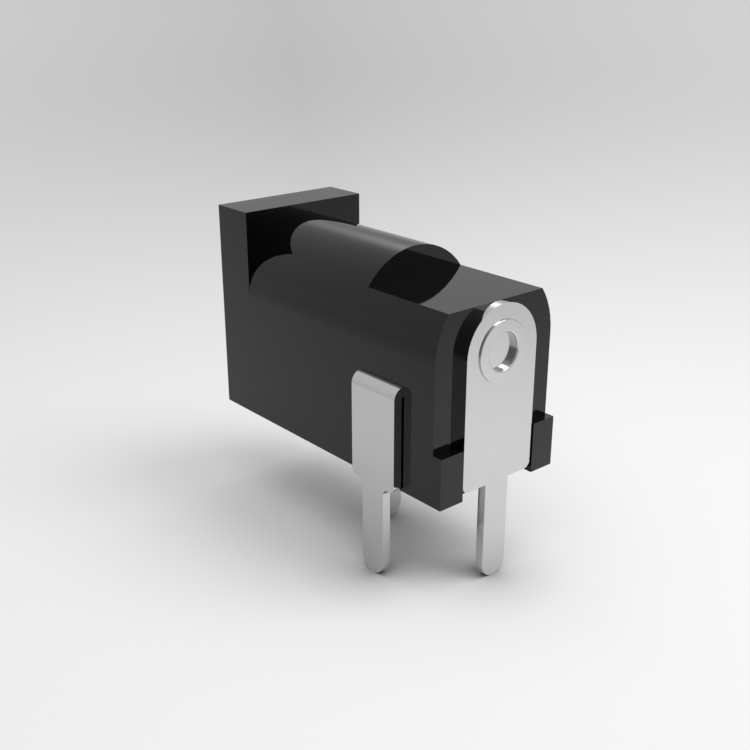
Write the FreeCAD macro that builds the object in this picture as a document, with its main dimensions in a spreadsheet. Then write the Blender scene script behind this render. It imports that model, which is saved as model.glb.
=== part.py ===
import FreeCAD, Part
import math
import os
import Sketcher
from FreeCAD import Vector

# A small right-angle dc power jack for a circuit board, in millimetres.
# The plug goes in along +Y through the flange at y = 0. The board's surface is z = 0.
# The jack's middle plane is x = 0, and its switch terminal hangs on the +X side.

SIZES = {
    # housing, outside
    "bodyWidth": 5.0,
    "bodyLength": 11.1,
    "barrelLength": 7.55,
    "axisHeight": 4.5,
    "flatHeight": 6.0,
    "flangeHeight": 7.4,
    "flangeThickness": 1.7,
    "footDepth": 0.35,
    "footHeight": 1.7,
    # housing, inside
    "boreWidth": 3.8,
    "boreDepth": 7.0,
    "boreLead": 0.25,
    "channelFront": 2.1,
    "channelHeight": 3.35,
    "recessBack": 6.8,
    # centre pin
    "pinWidth": 1.3,
    "pinSetback": 1.2,
    "pinTipRound": 0.4,
    "collarWidth": 2.2,
    "collarLength": 0.8,
    "shankWidth": 1.7,
    "rivetWidth": 2.0,
    "rivetHeight": 0.06,
    "rivetRim": 0.03,
    "rivetBore": 1.2,
    "rivetBoreDepth": 0.2,
    "rivetLip": 0.07,
    # solder legs
    "legWidth": 1.0,
    "legReach": 3.2,
    "legPitch": 2.5,
    # pin terminal
    "plateWidth": 3.0,
    "plateThickness": 0.3,
    "plateBottom": 0.2,
    "plateCorner": 0.25,
    "plateClearance": 0.05,
    # switch terminal
    "switchWidth": 2.0,
    "switchThickness": 0.3,
    "switchTop": 3.5,
    "switchGap": 0.05,
    "switchBend": 0.1,
    "switchCorner": 0.2,
    "switchEnd": 0.5,
    "switchClearance": 0.05,
    # sleeve spring
    "springThickness": 0.25,
    "springWidth": 2.0,
    "springClearance": 0.1,
    "seatHeight": 0.875,
    "springBend": 0.15,
    "turnClearance": 0.25,
    "turnTop": 1.7,
    "turnRound": 0.45,
    "seatFront": 3.3,
    "seatLength": 2.3,
    "humpStation": 5.1,
    "humpHeight": 3.13,
    "humpRound": 0.8,
    "dipStation": 7.0,
    "dipHeight": 2.75,
    "dipRound": 0.6,
    "tailLead": 0.85,
    "tailReach": 0.45,
    "tailRound": 0.5,
}

# marks a corner whose edge to the next corner is a half circle
CAP = "cap"
# lengths and volumes under this count as nothing
NEGLIGIBLE = 1e-6


# a number together with the spreadsheet expression that it comes from
class Size:
    def __init__(self, value, text):
        self.value = float(value)
        self.text = text

    def __add__(self, other):
        other = size(other)
        return Size(self.value + other.value, f"({self.text} + {other.text})")

    def __sub__(self, other):
        other = size(other)
        return Size(self.value - other.value, f"({self.text} - {other.text})")

    def __mul__(self, other):
        other = size(other)
        return Size(self.value * other.value, f"({self.text} * {other.text})")

    def __truediv__(self, other):
        other = size(other)
        return Size(self.value / other.value, f"({self.text} / {other.text})")

    def __neg__(self):
        return Size(-self.value, f"(0 - {self.text})")


def size(number):
    if isinstance(number, Size):
        return number
    return Size(number, f"{number}")


doc = FreeCAD.newDocument("DcBarrelJack")
sheet = doc.addObject("Spreadsheet::Sheet", "Sizes")
for rowNumber, (alias, number) in enumerate(SIZES.items(), start=1):
    sheet.set(f"B{rowNumber}", f"{number}")
    sheet.setAlias(f"B{rowNumber}", alias)
doc.recompute()
S = {alias: Size(number, f"Sizes.{alias}") for alias, number in SIZES.items()}

# places that more than one piece takes its size from
bodyHalf = S["bodyWidth"] / 2
boreRadius = S["boreWidth"] / 2
shankRadius = S["shankWidth"] / 2
plateHalf = S["plateWidth"] / 2
footInside = plateHalf + S["plateClearance"]
legHalf = S["legWidth"] / 2
tipCentre = legHalf - S["legReach"]
plateBack = S["bodyLength"] + S["plateThickness"]
pinLegStation = S["bodyLength"] + S["plateThickness"] / 2
switchStation = pinLegStation - S["legPitch"]
sleeveStation = switchStation - S["legPitch"]
switchFront = switchStation - S["switchWidth"] / 2
switchBack = switchStation + S["switchWidth"] / 2
switchUnder = S["switchTop"] - S["switchThickness"]
seatUnder = S["seatHeight"] - S["springThickness"]


def bind(thing, name, value):
    thing.setExpression(name, value.text)


def newBody(name):
    body = doc.addObject("PartDesign::Body", name)
    body.Label = name
    return body


def newSketch(body, name, role, offset=None, lift=None):
    # offset runs along the plane's normal and lift along its second axis
    sketch = body.newObject("Sketcher::SketchObject", name)
    origin = [plane for plane in body.Origin.OriginFeatures if plane.Role == role]
    sketch.AttachmentSupport = [(origin[0], "")]
    sketch.MapMode = "FlatFace"
    if offset is not None:
        bind(sketch, "AttachmentOffset.Base.z", offset)
    if lift is not None:
        bind(sketch, "AttachmentOffset.Base.y", lift)
    doc.recompute()
    return sketch


def constrain(sketch, kind, *references, value=None):
    if value is None:
        return sketch.addConstraint(Sketcher.Constraint(kind, *references))
    index = sketch.addConstraint(Sketcher.Constraint(kind, *references, value.value))
    sketch.setExpression(f"Constraints[{index}]", value.text)
    return index


def placePoint(sketch, geometry, end, across, up):
    constrain(sketch, "DistanceX", -1, 1, geometry, end, value=size(across))
    constrain(sketch, "DistanceY", -1, 1, geometry, end, value=size(up))


def roundedCorner(before, corner, after, radius):
    # the two tangent points and the centre of the arc that rounds a corner
    inward = (before - corner).normalize()
    outward = (after - corner).normalize()
    half = inward.getAngle(outward) / 2
    reach = radius / math.tan(half)
    bisector = (inward + outward).normalize()
    centre = corner + bisector * (radius / math.sin(half))
    return corner + inward * reach, corner + outward * reach, centre


def arcBetween(centre, first, last, leftTurn):
    # an arc always runs anticlockwise, so a right turn is drawn from its far end
    start, end = (first, last) if leftTurn else (last, first)
    startAngle = math.atan2(start.y - centre.y, start.x - centre.x)
    endAngle = math.atan2(end.y - centre.y, end.x - centre.x)
    if endAngle <= startAngle:
        endAngle += 2 * math.pi
    circle = Part.Circle(centre, Vector(0, 0, 1), (first - centre).Length)
    return Part.ArcOfCircle(circle, startAngle, endAngle)


def drawPath(sketch, corners, closed=True):
    # A corner is (across, up, radius), or has CAP for its radius where a half circle,
    # turning left, leads to the next corner.
    count = len(corners)
    spots = [Vector(size(a).value, size(b).value, 0) for a, b, _ in corners]
    guides = []
    for (across, up, _), spot in zip(corners, spots):
        guide = sketch.addGeometry(Part.Point(spot), True)
        placePoint(sketch, guide, 1, across, up)
        guides.append(guide)
    tangents = []
    for index, (_, _, turn) in enumerate(corners):
        spot = spots[index]
        if isinstance(turn, str) or size(turn).value == 0:
            tangents.append((spot, spot, None))
            continue
        before, after = spots[index - 1], spots[(index + 1) % count]
        tangents.append(roundedCorner(before, spot, after, size(turn).value))
    edges = []
    for index in range(count if closed else count - 1):
        following = (index + 1) % count
        first, last = tangents[index][1], tangents[following][0]
        if corners[index][2] == CAP:
            centre = (first + last) / 2
            arc = sketch.addGeometry(arcBetween(centre, first, last, True))
            constrain(sketch, "Coincident", arc, 1, guides[index], 1)
            constrain(sketch, "Coincident", arc, 2, guides[following], 1)
            constrain(sketch, "DistanceY", -1, 1, arc, 3, value=size(corners[index][1]))
            edges.append(None)
            continue
        line = sketch.addGeometry(Part.LineSegment(first, last))
        for end, place in ((1, index), (2, following)):
            if tangents[place][2] is None:
                constrain(sketch, "Coincident", line, end, guides[place], 1)
            else:
                constrain(sketch, "PointOnObject", guides[place], 1, line)
        edges.append(line)
    for index, (first, last, centre) in enumerate(tangents):
        if centre is None:
            continue
        arriving, leaving = edges[index - 1], edges[index]
        entry, away = spots[index] - first, last - spots[index]
        leftTurn = entry.cross(away).z > 0
        arc = sketch.addGeometry(arcBetween(centre, first, last, leftTurn))
        start, end = (1, 2) if leftTurn else (2, 1)
        constrain(sketch, "Tangent", arriving, 2, arc, start)
        constrain(sketch, "Tangent", arc, end, leaving, 1)
        constrain(sketch, "Radius", arc, value=size(corners[index][2]))


def drawBox(sketch, left, right, low, high):
    drawPath(sketch, [(left, low, 0), (right, low, 0), (right, high, 0), (left, high, 0)])


def drawCircle(sketch, across, up, radius):
    centre = Vector(size(across).value, size(up).value, 0)
    circle = sketch.addGeometry(Part.Circle(centre, Vector(0, 0, 1), radius.value))
    placePoint(sketch, circle, 3, across, up)
    constrain(sketch, "Radius", circle, value=radius)


def checkedRecompute():
    doc.recompute()
    for thing in doc.Objects:
        if {"Invalid", "Error"} & set(thing.State):
            raise RuntimeError(f"{thing.Name} did not compute: {thing.State}")


def grow(body, feature, more=True):
    # a pad that misses the solid, or a pocket that points away from it, changes no volume
    before = body.Shape.Volume if body.Shape.Solids else 0.0
    checkedRecompute()
    change = body.Shape.Volume - before
    if (change > 0) != more or abs(change) < NEGLIGIBLE:
        raise RuntimeError(f"{feature.Name} changed the volume by {change:.5f}")


def pad(body, sketch, length, reverse=False, middle=False):
    feature = body.newObject("PartDesign::Pad", sketch.Name + "Pad")
    feature.Profile = sketch
    bind(feature, "Length", length)
    feature.Reversed = reverse
    feature.Midplane = middle
    grow(body, feature)
    return feature


def pocket(body, sketch, length=None, reverse=False):
    feature = body.newObject("PartDesign::Pocket", sketch.Name + "Pocket")
    feature.Profile = sketch
    feature.Reversed = reverse
    if length is None:
        feature.Type = "ThroughAll"
    else:
        bind(feature, "Length", length)
    grow(body, feature, more=False)
    return feature


# On the XZ plane the normal points along -Y, so an offset of -y lies at depth y.
# There a reversed pad grows along +Y, and a pocket that is not reversed cuts along +Y.


def makeHousing():
    body = newBody("housing")
    shell = newSketch(body, "Shell", "XZ_Plane")
    drawPath(shell, [
        (-bodyHalf, 0, 0),
        (bodyHalf, 0, 0),
        (bodyHalf, S["axisHeight"], CAP),
        (-bodyHalf, S["axisHeight"], 0),
    ])
    pad(body, shell, S["bodyLength"], reverse=True)

    flange = newSketch(body, "Flange", "XZ_Plane")
    drawBox(flange, -bodyHalf, bodyHalf, 0, S["flangeHeight"])
    pad(body, flange, S["flangeThickness"], reverse=True)

    feet = newSketch(body, "Feet", "XZ_Plane", -S["bodyLength"])
    drawBox(feet, footInside, bodyHalf, 0, S["footHeight"])
    drawBox(feet, -bodyHalf, -footInside, 0, S["footHeight"])
    pad(body, feet, S["footDepth"], reverse=True)

    # behind the barrel the round top is cut down to a flat
    flat = newSketch(body, "Flat", "XZ_Plane", -S["barrelLength"])
    drawBox(flat, -bodyHalf, bodyHalf, S["flatHeight"], S["axisHeight"] + S["bodyWidth"])
    pocket(body, flat)

    bore = newSketch(body, "Bore", "XZ_Plane")
    drawCircle(bore, 0, S["axisHeight"], boreRadius)
    pocket(body, bore, S["boreDepth"])

    shankHole = newSketch(body, "ShankHole", "XZ_Plane")
    drawCircle(shankHole, 0, S["axisHeight"], shankRadius)
    pocket(body, shankHole)

    # the underside is open from the flange to the back, with a wider recess for the spring's seat
    recess = newSketch(body, "SeatRecess", "XY_Plane")
    drawBox(recess, -footInside, footInside, S["channelFront"], S["recessBack"])
    pocket(body, recess, S["seatHeight"], reverse=True)

    channel = newSketch(body, "Channel", "XY_Plane")
    channelHalf = S["springWidth"] / 2 + S["springClearance"]
    drawBox(channel, -channelHalf, channelHalf, S["channelFront"], S["bodyLength"])
    pocket(body, channel, S["channelHeight"], reverse=True)

    # the switch terminal's slot goes in through one side wall, cut away under the terminal's bend
    slot = newSketch(body, "SwitchSlot", "YZ_Plane", bodyHalf)
    drawBox(slot, switchFront, switchBack, switchUnder, S["switchTop"])
    pocket(body, slot, bodyHalf - S["switchEnd"] + S["switchClearance"])

    relief = newSketch(body, "BendRelief", "XZ_Plane", -switchFront)
    reliefSize = S["switchBend"] - S["switchGap"] + S["switchClearance"]
    drawPath(relief, [
        (bodyHalf - reliefSize, switchUnder, 0),
        (bodyHalf, switchUnder - reliefSize, 0),
        (bodyHalf, switchUnder, 0),
    ])
    reliefCut = pocket(body, relief, S["switchWidth"])

    # the bore's mouth widens to lead the plug in
    mouth = [
        f"Edge{number}"
        for number, edge in enumerate(body.Tip.Shape.Edges, start=1)
        if isinstance(edge.Curve, Part.Circle)
        and math.isclose(edge.Curve.Radius, boreRadius.value)
        and abs(edge.CenterOfMass.y) < NEGLIGIBLE
    ]
    lead = body.newObject("PartDesign::Chamfer", "BoreLead")
    lead.Base = (reliefCut, mouth)
    bind(lead, "Size", S["boreLead"])
    grow(body, lead, more=False)
    return body


def makeCentrePin():
    body = newBody("centre_pin")
    # drawn with the pin's axis as the sketch's first axis
    profile = newSketch(body, "PinProfile", "YZ_Plane", lift=S["axisHeight"])
    collarFront = S["boreDepth"] - S["collarLength"]
    rivetBack = plateBack + S["rivetHeight"]
    drawPath(profile, [
        (S["pinSetback"], 0, 0),
        (rivetBack - S["rivetBoreDepth"], 0, 0),
        (rivetBack - S["rivetBoreDepth"], S["rivetBore"] / 2, 0),
        (rivetBack, S["rivetBore"] / 2, S["rivetLip"]),
        (rivetBack, S["rivetWidth"] / 2, S["rivetRim"]),
        (plateBack, S["rivetWidth"] / 2, 0),
        (plateBack, shankRadius, 0),
        (S["boreDepth"], shankRadius, 0),
        (S["boreDepth"], S["collarWidth"] / 2, 0),
        (collarFront, S["collarWidth"] / 2, 0),
        (collarFront, S["pinWidth"] / 2, 0),
        (S["pinSetback"], S["pinWidth"] / 2, S["pinTipRound"]),
    ])
    turned = body.newObject("PartDesign::Revolution", "PinTurned")
    turned.Profile = profile
    turned.ReferenceAxis = (profile, ["H_Axis"])
    turned.Angle = 360
    grow(body, turned)
    return body


def makePinTerminal():
    body = newBody("pin_terminal")
    plate = newSketch(body, "Plate", "XZ_Plane", -S["bodyLength"])
    drawPath(plate, [
        (plateHalf, S["axisHeight"], CAP),
        (-plateHalf, S["axisHeight"], 0),
        (-plateHalf, S["plateBottom"], S["plateCorner"]),
        (-legHalf, S["plateBottom"], 0),
        (-legHalf, tipCentre, CAP),
        (legHalf, tipCentre, 0),
        (legHalf, S["plateBottom"], 0),
        (plateHalf, S["plateBottom"], S["plateCorner"]),
    ])
    drawCircle(plate, 0, S["axisHeight"], shankRadius)
    pad(body, plate, S["plateThickness"], reverse=True)
    return body


def makeSwitchTerminal():
    body = newBody("switch_terminal")
    inside = bodyHalf + S["switchGap"]
    outside = inside + S["switchThickness"]
    bendOutside = S["switchBend"] + S["switchThickness"]
    limbTop = switchUnder - S["switchBend"] * 2

    limb = newSketch(body, "Limb", "YZ_Plane", inside)
    drawPath(limb, [
        (switchFront, limbTop, 0),
        (switchFront, 0, S["switchCorner"]),
        (switchStation - legHalf, 0, S["switchCorner"]),
        (switchStation - legHalf, tipCentre, CAP),
        (switchStation + legHalf, tipCentre, 0),
        (switchStation + legHalf, 0, S["switchCorner"]),
        (switchBack, 0, S["switchCorner"]),
        (switchBack, limbTop, 0),
    ])
    pad(body, limb, S["switchThickness"])

    # the bend at the top and the tab that goes in through the side wall
    tab = newSketch(body, "Tab", "XZ_Plane", -switchFront)
    drawPath(tab, [
        (inside, limbTop, 0),
        (outside, limbTop, 0),
        (outside, S["switchTop"], bendOutside),
        (S["switchEnd"], S["switchTop"], 0),
        (S["switchEnd"], switchUnder, 0),
        (inside, switchUnder, S["switchBend"]),
    ])
    pad(body, tab, S["switchWidth"], reverse=True)
    return body


def makeSleeveSpring():
    body = newBody("sleeve_spring")
    half = S["springThickness"] / 2
    seatMiddle = S["seatHeight"] - half
    seatBack = S["seatFront"] + S["seatLength"]
    legFront = sleeveStation - half
    legBack = sleeveStation + half

    # the flat seat, as wide as the channel, narrows to the leg at its back
    seat = newSketch(body, "Seat", "XY_Plane", seatUnder)
    neckStart = legFront - S["springBend"]
    drawPath(seat, [
        (-footInside, S["seatFront"], 0),
        (footInside, S["seatFront"], 0),
        (footInside, seatBack, 0),
        (legHalf, neckStart, 0),
        (-legHalf, neckStart, 0),
        (-footInside, seatBack, 0),
    ])
    pad(body, seat, S["springThickness"])

    leg = newSketch(body, "Leg", "YZ_Plane")
    drawPath(leg, [
        (seatBack, seatUnder, 0),
        (legFront, seatUnder, S["springBend"]),
        (legFront, tipCentre, 0),
        (legBack, tipCentre, 0),
        (legBack, S["seatHeight"], S["springBend"] + S["springThickness"]),
        (seatBack, S["seatHeight"], 0),
    ])
    pad(body, leg, S["legWidth"], middle=True)

    tip = newSketch(body, "Tip", "XZ_Plane", -legFront)
    drawCircle(tip, 0, tipCentre, legHalf)
    pad(body, tip, S["springThickness"], reverse=True)

    # the leaf turns back over the seat, humps up into the bore and ends under the switch terminal's tab
    turnLine = S["channelFront"] + S["turnClearance"] + half
    contactMiddle = switchUnder - half
    leafStart = S["seatFront"] + S["springThickness"]
    spine = newSketch(body, "LeafLine", "YZ_Plane")
    drawPath(spine, [
        (leafStart, seatMiddle, 0),
        (turnLine, seatMiddle, S["turnRound"]),
        (turnLine, S["turnTop"], S["turnRound"]),
        (S["humpStation"], S["humpHeight"], S["humpRound"]),
        (S["dipStation"], S["dipHeight"], S["dipRound"]),
        (switchStation - S["tailLead"], contactMiddle, S["tailRound"]),
        (switchStation + S["tailReach"], contactMiddle, 0),
    ], closed=False)
    section = newSketch(body, "LeafSection", "XZ_Plane", -leafStart)
    leafHalf = S["springWidth"] / 2
    drawBox(section, -leafHalf, leafHalf, seatUnder, S["seatHeight"])
    leaf = body.newObject("PartDesign::AdditivePipe", "Leaf")
    leaf.Profile = section
    leaf.Spine = (spine, [f"Edge{n + 1}" for n in range(len(spine.Shape.Edges))])
    leaf.Mode = "Binormal"
    leaf.Binormal = Vector(1, 0, 0)
    grow(body, leaf)
    return body


bodies = [
    makeHousing(),
    makeCentrePin(),
    makePinTerminal(),
    makeSwitchTerminal(),
    makeSleeveSpring(),
]
checkedRecompute()
os.makedirs("parts", exist_ok=True)
for body in bodies:
    shape = body.Shape
    if shape.isNull() or not shape.isValid() or len(shape.Solids) != 1:
        raise RuntimeError(f"{body.Label} is not one valid solid")
    shape.exportStep(f"parts/{body.Label}.step")
    print(body.Label, round(shape.Volume, 4), shape.BoundBox)
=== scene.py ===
import math

import bpy
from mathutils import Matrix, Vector

# DC barrel jack: black moulded housing, turned centre pin, two stamped terminals and a leaf spring.
# Metres throughout. The plug goes in along +Y, the board's surface is z = 0.
# An azimuth is counted from +Y towards +X and an elevation up from the horizon, both in degrees.

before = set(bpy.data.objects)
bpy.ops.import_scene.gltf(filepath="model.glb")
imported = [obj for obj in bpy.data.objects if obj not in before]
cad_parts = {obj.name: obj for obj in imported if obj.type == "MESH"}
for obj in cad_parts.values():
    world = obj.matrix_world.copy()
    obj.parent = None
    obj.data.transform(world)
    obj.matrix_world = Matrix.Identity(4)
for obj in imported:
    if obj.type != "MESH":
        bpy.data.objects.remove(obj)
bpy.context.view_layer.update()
print("frame loaded:", sorted(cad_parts))

scene = bpy.context.scene
scene.view_settings.view_transform = "Standard"


# small helpers for node trees

# a node group that turns a vector and some numbers into one number
def newTree(name, numbers, result):
    tree = bpy.data.node_groups.new(name, "ShaderNodeTree")
    tree.interface.new_socket(name="Vector", in_out="INPUT", socket_type="NodeSocketVector")
    for label in numbers:
        tree.interface.new_socket(name=label, in_out="INPUT", socket_type="NodeSocketFloat")
    tree.interface.new_socket(name=result, in_out="OUTPUT", socket_type="NodeSocketFloat")
    return tree, tree.nodes.new("NodeGroupInput"), tree.nodes.new("NodeGroupOutput")


def addNode(tree, kind, values=None, **settings):
    node = tree.nodes.new(kind)
    for key, value in settings.items():
        setattr(node, key, value)
    for key, value in (values or {}).items():
        node.inputs[key].default_value = value
    return node


def joinAll(tree, *pairs):
    for source, target in pairs:
        tree.links.new(source, target)


# gives a socket a number, a colour or the output of another node
def feed(tree, term, socket):
    if isinstance(term, tuple):
        socket.default_value = (*term, 1.0)
    elif isinstance(term, (int, float)):
        socket.default_value = (term, term, term, 1.0) if socket.type == "RGBA" else term
    else:
        tree.links.new(term, socket)


def calc(tree, operation, *terms):
    node = addNode(tree, "ShaderNodeMath", operation=operation)
    for socket, term in zip(node.inputs, terms):
        feed(tree, term, socket)
    return node.outputs[0]


# a Mix node has sockets for each kind of data: which ones hold its two terms and its result
mixSockets = {"FLOAT": (2, 3, 0), "RGBA": (6, 7, 2)}


def mixTwo(tree, kind, factor, first, second):
    mix = addNode(tree, "ShaderNodeMix", data_type=kind)
    firstSocket, secondSocket, result = mixSockets[kind]
    feed(tree, factor, mix.inputs["Factor"])
    feed(tree, first, mix.inputs[firstSocket])
    feed(tree, second, mix.inputs[secondSocket])
    return mix.outputs[result]


# e to the power of minus distance over length
def fadeOver(tree, distance, length):
    return calc(tree, "EXPONENT", calc(tree, "DIVIDE", distance, -length))


# first up to start, last from end on, and a smooth step between
def smoothBand(tree, value, start, end, first, last):
    band = addNode(tree, "ShaderNodeMapRange", {
        "From Min": start, "From Max": end, "To Min": first, "To Max": last},
        interpolation_type="SMOOTHSTEP")
    tree.links.new(value, band.inputs["Value"])
    return band.outputs[0]


# cosine of the angle between a direction and a fixed aim
def turnedTo(tree, way, aim):
    towards = addNode(tree, "ShaderNodeVectorMath", {1: Vector(aim).normalized()}, operation="DOT_PRODUCT")
    tree.links.new(way, towards.inputs[0])
    return towards.outputs["Value"]


# the direction of a dictionary's azimuth and elevation
def directionOf(look):
    azimuth, elevation = math.radians(look["azimuth"]), math.radians(look["elevation"])
    return Vector((math.sin(azimuth) * math.cos(elevation), math.cos(azimuth) * math.cos(elevation),
                   math.sin(elevation)))


# node groups that several finishes share

mottleLook = {
    "cloud": {"Detail": 4.0, "Roughness": 0.55},
    "spread": {"From Min": 0.3, "From Max": 0.7},
}


# slow cloudy change over a surface, from a low to a high value
def makeMottle():
    tree, start, end = newTree("surfaceMottle", ("Size", "Low", "High"), "Value")
    noise = addNode(tree, "ShaderNodeTexNoise", mottleLook["cloud"])
    spread = addNode(tree, "ShaderNodeMapRange", mottleLook["spread"], interpolation_type="SMOOTHSTEP")
    joinAll(tree,
            (start.outputs["Vector"], noise.inputs["Vector"]),
            (calc(tree, "DIVIDE", 1.0, start.outputs["Size"]), noise.inputs["Scale"]),
            (noise.outputs[0], spread.inputs["Value"]),
            (start.outputs["Low"], spread.inputs["To Min"]),
            (start.outputs["High"], spread.inputs["To Max"]),
            (spread.outputs[0], end.inputs["Value"]))
    return tree


edgeLook = {
    "samples": 6,
    "lean": {"From Min": 0.99, "From Max": 0.8},  # cosines: where the mask starts and where it is full
    "patches": {"Scale": 1600.0, "Detail": 3.0},
    "patchRange": {"From Min": 0.35, "From Max": 0.65},
}


# 1 along sharp edges and 0 on the faces: how far a rounded normal leans from the true one,
# less strong in patches
def makeEdge():
    tree, start, end = newTree("edgeRub", ("Width", "Patchiness"), "Mask")
    rounded = addNode(tree, "ShaderNodeBevel", samples=edgeLook["samples"])
    flat = addNode(tree, "ShaderNodeNewGeometry")
    lean = addNode(tree, "ShaderNodeVectorMath", operation="DOT_PRODUCT")
    band = addNode(tree, "ShaderNodeMapRange", edgeLook["lean"])
    noise = addNode(tree, "ShaderNodeTexNoise", edgeLook["patches"])
    patch = addNode(tree, "ShaderNodeMapRange", edgeLook["patchRange"])
    joinAll(tree,
            (start.outputs["Width"], rounded.inputs["Radius"]),
            (rounded.outputs[0], lean.inputs[0]),
            (flat.outputs["Normal"], lean.inputs[1]),
            (lean.outputs["Value"], band.inputs["Value"]),
            (start.outputs["Vector"], noise.inputs["Vector"]),
            (noise.outputs[0], patch.inputs["Value"]),
            (calc(tree, "SUBTRACT", 1.0, start.outputs["Patchiness"]), patch.inputs["To Min"]),
            (calc(tree, "MULTIPLY", band.outputs[0], patch.outputs[0]), end.inputs["Mask"]))
    return tree


linesLook = {"Detail": 2.0, "Roughness": 0.6}


# fine grain as a height from 0 to 1, which a stretched vector draws out into lines
def makeLines():
    tree, start, end = newTree("drawnLines", ("Size",), "Height")
    noise = addNode(tree, "ShaderNodeTexNoise", linesLook)
    joinAll(tree,
            (start.outputs["Vector"], noise.inputs["Vector"]),
            (calc(tree, "DIVIDE", 1.0, start.outputs["Size"]), noise.inputs["Scale"]),
            (noise.outputs[0], end.inputs["Height"]))
    return tree


# how far a direction points to one azimuth, seen from above: 1 straight there and less all round,
# as e to the power of minus a share, which is the turn over the spread, itself raised to a power
def makeOneSide():
    tree, start, end = newTree("oneSide", ("Azimuth", "Spread", "Power"), "Value")
    level = addNode(tree, "ShaderNodeVectorMath", {1: (1.0, 1.0, 0.0)}, operation="MULTIPLY")
    unit = addNode(tree, "ShaderNodeVectorMath", operation="NORMALIZE")
    azimuth = calc(tree, "RADIANS", start.outputs["Azimuth"])
    aim = addNode(tree, "ShaderNodeCombineXYZ")
    along = addNode(tree, "ShaderNodeVectorMath", operation="DOT_PRODUCT")
    joinAll(tree,
            (start.outputs["Vector"], level.inputs[0]),
            (level.outputs[0], unit.inputs[0]),
            (calc(tree, "SINE", azimuth), aim.inputs["X"]),
            (calc(tree, "COSINE", azimuth), aim.inputs["Y"]),
            (unit.outputs[0], along.inputs[0]),
            (aim.outputs[0], along.inputs[1]))
    turn = calc(tree, "DEGREES", calc(tree, "ARCCOSINE", along.outputs["Value"]))
    share = calc(tree, "POWER", calc(tree, "DIVIDE", turn, start.outputs["Spread"]), start.outputs["Power"])
    tree.links.new(fadeOver(tree, share, 1.0), end.inputs["Value"])
    return tree


groups = {"mottle": makeMottle(), "edge": makeEdge(), "lines": makeLines(), "side": makeOneSide()}
print("node groups built:", ", ".join(sorted(tree.name for tree in groups.values())))


def placeGroup(tree, group, values, place):
    node = addNode(tree, "ShaderNodeGroup", node_tree=groups[group])
    for key, value in values.items():
        node.inputs[key].default_value = value
    tree.links.new(place, node.inputs["Vector"])
    return node.outputs[0]


# finishes of the jack's own pieces

def newMaterial(name):
    material = bpy.data.materials.new(name)
    material.use_nodes = True
    tree = material.node_tree
    shader = tree.nodes["Principled BSDF"]
    place = addNode(tree, "ShaderNodeTexCoord").outputs["Object"]
    return material, tree, shader, place


# colour and roughness that every finish here shares: a mottle, then brighter or duller edges
def finishSurface(tree, shader, place, look):
    low, high = look["roughness"]
    tone = placeGroup(tree, "mottle", {"Size": look["mottleSize"], "Low": 0.0, "High": 1.0}, place)
    rough = placeGroup(tree, "mottle", {"Size": look["roughSize"], "Low": low, "High": high}, place)
    edge = placeGroup(tree, "edge", {"Width": look["edgeWidth"], "Patchiness": look["patchiness"]}, place)
    face = mixTwo(tree, "RGBA", tone, look["colour"], look["mottleColour"])
    joinAll(tree,
            (mixTwo(tree, "RGBA", edge, face, look["edgeColour"]), shader.inputs["Base Color"]),
            (mixTwo(tree, "FLOAT", edge, rough, look["edgeRoughness"]), shader.inputs["Roughness"]))


def addBump(tree, shader, height, depth):
    bump = addNode(tree, "ShaderNodeBump", {"Strength": 1.0, "Distance": depth})
    joinAll(tree, (height, bump.inputs["Height"]), (bump.outputs[0], shader.inputs["Normal"]))


housingLook = {
    "colour": (0.0017, 0.0017, 0.0018),
    "mottleColour": (0.0024, 0.0024, 0.0025),
    "mottleSize": 0.0016,
    "ior": 1.37,
    "roughness": (0.03, 0.06),
    "roughSize": 0.00096,
    "grainSize": 0.00022,
    "grainDepth": 0.00000035,
    "edgeWidth": 0.00003,
    "edgeColour": (0.0036, 0.0036, 0.0037),
    "edgeRoughness": 0.10,
    "patchiness": 0.7,
}


# glossy black plastic with the fine grain of its mould
def makeHousingPlastic():
    look = housingLook
    material, tree, shader, place = newMaterial("housingPlastic")
    shader.inputs["IOR"].default_value = look["ior"]
    finishSurface(tree, shader, place, look)
    grain = placeGroup(tree, "lines", {"Size": look["grainSize"]}, place)
    addBump(tree, shader, grain, look["grainDepth"])
    return material


sheetLook = {
    "colour": 0.53,
    "mottleColour": 0.52,
    "mottleSize": 0.0011,
    "roughness": (0.07, 0.11),
    "roughSize": 0.00066,
    "lineSize": 0.00006,
    "lineStretch": 0.035,
    "lineDepth": 0.0000002,
    "edgeWidth": 0.000015,
    "edgeColour": 0.56,
    "edgeRoughness": 0.08,
    "patchiness": 0.4,
}


# rolled and plated sheet: the rolling lines run along one axis of the piece
def makeSheetPlating(name, along):
    look = sheetLook
    material, tree, shader, place = newMaterial(name)
    shader.inputs["Metallic"].default_value = 1.0
    finishSurface(tree, shader, place, look)
    squeeze = [1.0, 1.0, 1.0]
    squeeze["XYZ".index(along)] = look["lineStretch"]
    drawn = addNode(tree, "ShaderNodeMapping", {"Scale": squeeze}, vector_type="POINT")
    tree.links.new(place, drawn.inputs["Vector"])
    lines = placeGroup(tree, "lines", {"Size": look["lineSize"]}, drawn.outputs[0])
    addBump(tree, shader, lines, look["lineDepth"])
    return material


pinLook = {
    "colour": 0.545,
    "mottleColour": 0.53,
    "mottleSize": 0.0009,
    "roughness": (0.05, 0.08),
    "roughSize": 0.00054,
    "ringSize": 0.00005,
    "ringDepth": 0.00000012,
    "axisHeight": 0.0045,
    "edgeWidth": 0.000015,
    "edgeColour": 0.58,
    "edgeRoughness": 0.06,
    "patchiness": 0.4,
}


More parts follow.
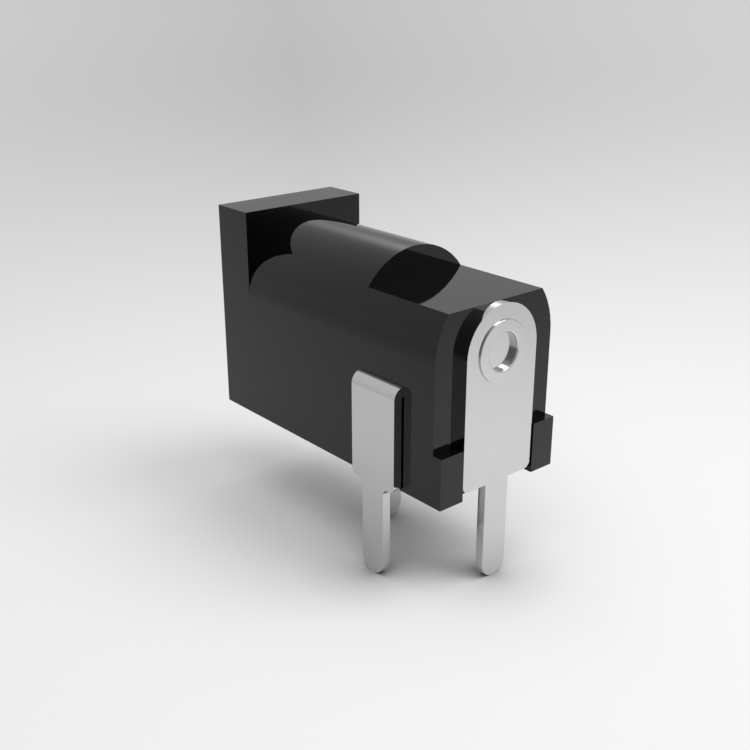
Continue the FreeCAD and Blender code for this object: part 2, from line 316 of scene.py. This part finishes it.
# turned and plated: fine rings round the pin's own axis, a pattern of radius and length alone
def makePinPlating():
    look = pinLook
    material, tree, shader, place = newMaterial("pinPlating")
    shader.inputs["Metallic"].default_value = 1.0
    finishSurface(tree, shader, place, look)
    centred = addNode(tree, "ShaderNodeVectorMath", {1: (0.0, 0.0, -look["axisHeight"])}, operation="ADD")
    split = addNode(tree, "ShaderNodeSeparateXYZ")
    across = addNode(tree, "ShaderNodeCombineXYZ")
    radius = addNode(tree, "ShaderNodeVectorMath", operation="LENGTH")
    ring = addNode(tree, "ShaderNodeCombineXYZ")
    joinAll(tree,
            (place, centred.inputs[0]),
            (centred.outputs[0], split.inputs[0]),
            (split.outputs["X"], across.inputs["X"]),
            (split.outputs["Z"], across.inputs["Z"]),
            (across.outputs[0], radius.inputs[0]),
            (radius.outputs["Value"], ring.inputs["X"]),
            (split.outputs["Y"], ring.inputs["Y"]))
    lines = placeGroup(tree, "lines", {"Size": look["ringSize"]}, ring.outputs[0])
    addBump(tree, shader, lines, look["ringDepth"])
    return material


finishes = {
    "housing": makeHousingPlastic(),
    "centre_pin": makePinPlating(),
    "pin_terminal": makeSheetPlating("terminalPlating", "Z"),
    "switch_terminal": makeSheetPlating("switchPlating", "Z"),
    "sleeve_spring": makeSheetPlating("springPlating", "Y"),
}
for name, material in finishes.items():
    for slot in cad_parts[name].material_slots:
        slot.material = material
print("materials placed on", len(finishes), "nodes")


# floor, surroundings and lamp

# two sides of the room are darker: the far one, behind the jack, and the one behind the camera, which only
# shiny surfaces see; in the sky this is less light, in the floor's colour it is painted shade
roomLook = {
    "farAzimuth": -144.6,
    "farSpread": 44.0,
    "shade": 0.66,
    "shadeAzimuth": 47.0,
    "shadeSpread": 35.0,
}
straightFall, bellFall = 1.0, 2.0  # powers of the oneSide group: pointed in its middle, or rounded


def placeSide(tree, azimuth, spread, fall, way):
    return placeGroup(tree, "side", {"Azimuth": azimuth, "Spread": spread, "Power": fall}, way)


def farSide(tree, way):
    return placeSide(tree, roomLook["farAzimuth"], roomLook["farSpread"], straightFall, way)


def shadedSide(tree, way):
    return placeSide(tree, roomLook["shadeAzimuth"], roomLook["shadeSpread"], bellFall, way)


floorLook = {
    "height": -0.0032,
    "reach": 3.0,
    "middle": (0.0, 0.0055),
    "far": 0.79,  # floor colour far away, greyer than the painted pool of light beside the jack, less the painted shade of the dip on the far side
    "farDip": 0.2705,
    "farFade": 0.0713,
    "near": 0.999,  # floor colour beside the jack, raised into a painted pool of light
    "nearFade": 0.0534,
    "tilt": (-0.174, 0.188),  # painted light: brighter towards this side
    "tiltStart": 0.04,
    "tiltFade": 0.07,
    "shadeFrom": 0.013,
    "shadeTo": 0.06,
    "lift": 0.23,  # painted light that shiny rays see: how much brighter shiny surfaces see the floor on one side
    "liftAzimuth": -25.0,
    "liftSpread": 50.0,
    "liftFrom": 0.013,
    "liftTo": 0.04,
    "contactReach": 0.0026,
    "contactEased": 0.7,  # how much of the contact shadow shiny surfaces don't see
    "contactSamples": 8,
}


# painted light and painted shade in the floor's colour: a painted pool of light, pale near the jack and
# greyer far away, painted shade darkest behind it, and painted light a little brighter on one side
def floorColourAndPaintedLight(tree, look, way):
    distance = addNode(tree, "ShaderNodeVectorMath", operation="LENGTH")
    lean = addNode(tree, "ShaderNodeVectorMath", {1: (*look["tilt"], 0.0)}, operation="DOT_PRODUCT")
    joinAll(tree, (way, distance.inputs[0]), (way, lean.inputs[0]))
    reached = distance.outputs["Value"]
    far = calc(tree, "MULTIPLY_ADD", farSide(tree, way), -look["farDip"], look["far"])
    farShare = calc(tree, "SUBTRACT", 1.0, fadeOver(tree, reached, look["farFade"]))
    near = calc(tree, "MULTIPLY", fadeOver(tree, reached, look["nearFade"]), look["near"])
    leaning = calc(tree, "DIVIDE", lean.outputs["Value"], calc(tree, "ADD", reached, look["tiltStart"]))
    leaning = calc(tree, "MULTIPLY", leaning, fadeOver(tree, reached, look["tiltFade"]))
    paint = calc(tree, "ADD", calc(tree, "MULTIPLY_ADD", far, farShare, near), leaning)

    # painted light and painted shade that only shiny rays see: the metal and the plastic mirror a brighter
    # floor on one side and a darker one behind the camera
    mirrored = addNode(tree, "ShaderNodeLightPath").outputs["Is Glossy Ray"]
    front = placeSide(tree, look["liftAzimuth"], look["liftSpread"], bellFall, way)
    lift = smoothBand(tree, reached, look["liftFrom"], look["liftTo"], look["lift"], 0.0)
    gain = calc(tree, "MULTIPLY", front, lift)
    depth = smoothBand(tree, reached, look["shadeFrom"], look["shadeTo"], 0.0, roomLook["shade"])
    loss = calc(tree, "MULTIPLY", shadedSide(tree, way), depth)
    change = calc(tree, "SUBTRACT", gain, loss)
    paint = calc(tree, "MULTIPLY", paint, calc(tree, "MULTIPLY_ADD", change, mirrored, 1.0))

    # deeper shadow where the legs stand
    closeness = addNode(tree, "ShaderNodeAmbientOcclusion", {"Distance": look["contactReach"]},
                        samples=look["contactSamples"])
    eased = calc(tree, "MULTIPLY", mirrored, look["contactEased"])
    contact = mixTwo(tree, "FLOAT", eased, closeness.outputs["AO"], 1.0)
    return calc(tree, "MULTIPLY", paint, contact)


# a camera below the floor looks through it at the underside
def openFromBelow(tree, shader):
    path = addNode(tree, "ShaderNodeLightPath")
    facing = addNode(tree, "ShaderNodeNewGeometry")
    clear = addNode(tree, "ShaderNodeBsdfTransparent")
    mix = addNode(tree, "ShaderNodeMixShader")
    below = calc(tree, "MULTIPLY", facing.outputs["Backfacing"], path.outputs["Is Camera Ray"])
    joinAll(tree,
            (below, mix.inputs["Fac"]),
            (shader.outputs[0], mix.inputs[1]),
            (clear.outputs[0], mix.inputs[2]),
            (mix.outputs[0], tree.nodes["Material Output"].inputs["Surface"]))


# one triangle round a circle of the floor's reach: a square would show the line between its halves
def makeFloor():
    look = floorLook
    reach, height = look["reach"], look["height"]
    side = math.sqrt(3.0) * reach
    mesh = bpy.data.meshes.new("floor")
    corners = [(-side, -reach, height), (side, -reach, height), (0.0, 2.0 * reach, height)]
    mesh.from_pydata(corners, [], [(0, 1, 2)])
    floor = bpy.data.objects.new("floor", mesh)
    scene.collection.objects.link(floor)

    material, tree, shader, place = newMaterial("floorPaintedLight")
    shader.inputs["Roughness"].default_value = 1.0
    shader.inputs["Specular IOR Level"].default_value = 0.0
    outward = addNode(tree, "ShaderNodeVectorMath", {1: (*look["middle"], height)}, operation="SUBTRACT")
    tree.links.new(place, outward.inputs[0])
    # the floor's base colour carries painted light and painted shade, and a painted contact shadow where
    # the legs stand
    tree.links.new(floorColourAndPaintedLight(tree, look, outward.outputs[0]), shader.inputs["Base Color"])
    openFromBelow(tree, shader)
    mesh.materials.append(material)


sunLook = {
    "strength": 0.8545,
    "angle": 35.7,
    "azimuth": -42.4,
    "elevation": 50.5,
}


# shiny surfaces see the lamp in the sky instead, so that the legs throw no bright spots on the floor
def makeSun():
    look = sunLook
    lamp = bpy.data.lights.new("softSun", "SUN")
    lamp.energy = look["strength"]
    lamp.angle = math.radians(look["angle"])
    sun = bpy.data.objects.new("softSun", lamp)
    scene.collection.objects.link(sun)
    sun.rotation_euler = (-directionOf(look)).to_track_quat("-Z", "Y").to_euler()
    sun.visible_glossy = False


skyLook = {
    "colour": (1.0, 1.0, 1.0, 1.0),
    "high": 0.80,
    "farDip": 0.27,
    "dipBottom": 0.2,  # the far side's dip ends between these two heights of the unit sphere
    "dipTop": 0.42,
    "glowTo": (-0.542, -0.658, 0.5225),
    "glow": 1.45,
    "glowTightness": 115.0,
    "lamp": 2.9,
    "lampEdge": (19.0, 16.5),  # degrees from the lamp's middle to where it starts and to where it is full
    "ambient": 0.0683,  # the light on matt surfaces: height plus shift, raised to a power, times this
    "ambientShift": 1.2409,
    "ambientPower": 3.6875,
    "afterFloor": 0.25,  # share of that light which the metal throws on to the floor
}


# the camera sees a plain pale room, shiny surfaces see it shaded, with a soft glow and the lamp,
# and matt surfaces get a light that is stronger towards the zenith
def makeSky():
    look = skyLook
    world = bpy.data.worlds.new("studio")
    scene.world = world
    world.use_nodes = True
    tree = world.node_tree
    backdrop = tree.nodes["Background"]
    backdrop.inputs["Color"].default_value = look["colour"]
    way = addNode(tree, "ShaderNodeTexCoord").outputs["Generated"]
    split = addNode(tree, "ShaderNodeSeparateXYZ")
    tree.links.new(way, split.inputs[0])
    height = split.outputs["Z"]
    lowness = smoothBand(tree, height, look["dipBottom"], look["dipTop"], look["farDip"], 0.0)
    room = calc(tree, "SUBTRACT", look["high"], calc(tree, "MULTIPLY", farSide(tree, way), lowness))

    towards = calc(tree, "MAXIMUM", turnedTo(tree, way, look["glowTo"]), 0.0)
    glow = calc(tree, "MULTIPLY", calc(tree, "POWER", towards, look["glowTightness"]), look["glow"])
    outer, inner = (math.cos(math.radians(edge)) for edge in look["lampEdge"])
    lamp = smoothBand(tree, turnedTo(tree, way, directionOf(sunLook)), outer, inner, 0.0, look["lamp"])
    shade = calc(tree, "MULTIPLY_ADD", shadedSide(tree, way), -roomLook["shade"], 1.0)
    mirrored = calc(tree, "ADD", calc(tree, "MULTIPLY_ADD", room, shade, glow), lamp)

    raised = calc(tree, "POWER", calc(tree, "ADD", height, look["ambientShift"]), look["ambientPower"])
    ambient = calc(tree, "MULTIPLY", raised, look["ambient"])

    path = addNode(tree, "ShaderNodeLightPath")
    onward = calc(tree, "MINIMUM", path.outputs["Diffuse Depth"], 1.0)
    mirrored = mixTwo(tree, "FLOAT", onward, mirrored, calc(tree, "MULTIPLY", ambient, look["afterFloor"]))
    shiny = calc(tree, "MAXIMUM", path.outputs["Is Glossy Ray"], path.outputs["Is Transmission Ray"])
    level = mixTwo(tree, "FLOAT", shiny, ambient, mirrored)
    level = mixTwo(tree, "FLOAT", path.outputs["Is Camera Ray"], level, room)
    tree.links.new(level, backdrop.inputs["Strength"])


makeFloor()
makeSun()
makeSky()
print("floor, lamp and sky built")


# camera, at the photograph's angle

cameraLook = {
    "place": (0.021851, 0.031153, 0.015132),
    "azimuth": -139.545,
    "elevation": -21.311,
    "lens": 50.065,  # millimetres, as is the sensor
    "sensor": 36.0,
    "near": 0.001,
    "far": 20.0,
}


def makeCamera():
    look = cameraLook
    lens = bpy.data.cameras.new("camera")
    lens.lens = look["lens"]
    lens.sensor_width = look["sensor"]
    lens.clip_start = look["near"]
    lens.clip_end = look["far"]
    camera = bpy.data.objects.new("camera", lens)
    scene.collection.objects.link(camera)
    camera.location = look["place"]
    camera.rotation_euler = directionOf(look).to_track_quat("-Z", "Y").to_euler()
    scene.camera = camera


makeCamera()
print("camera placed")
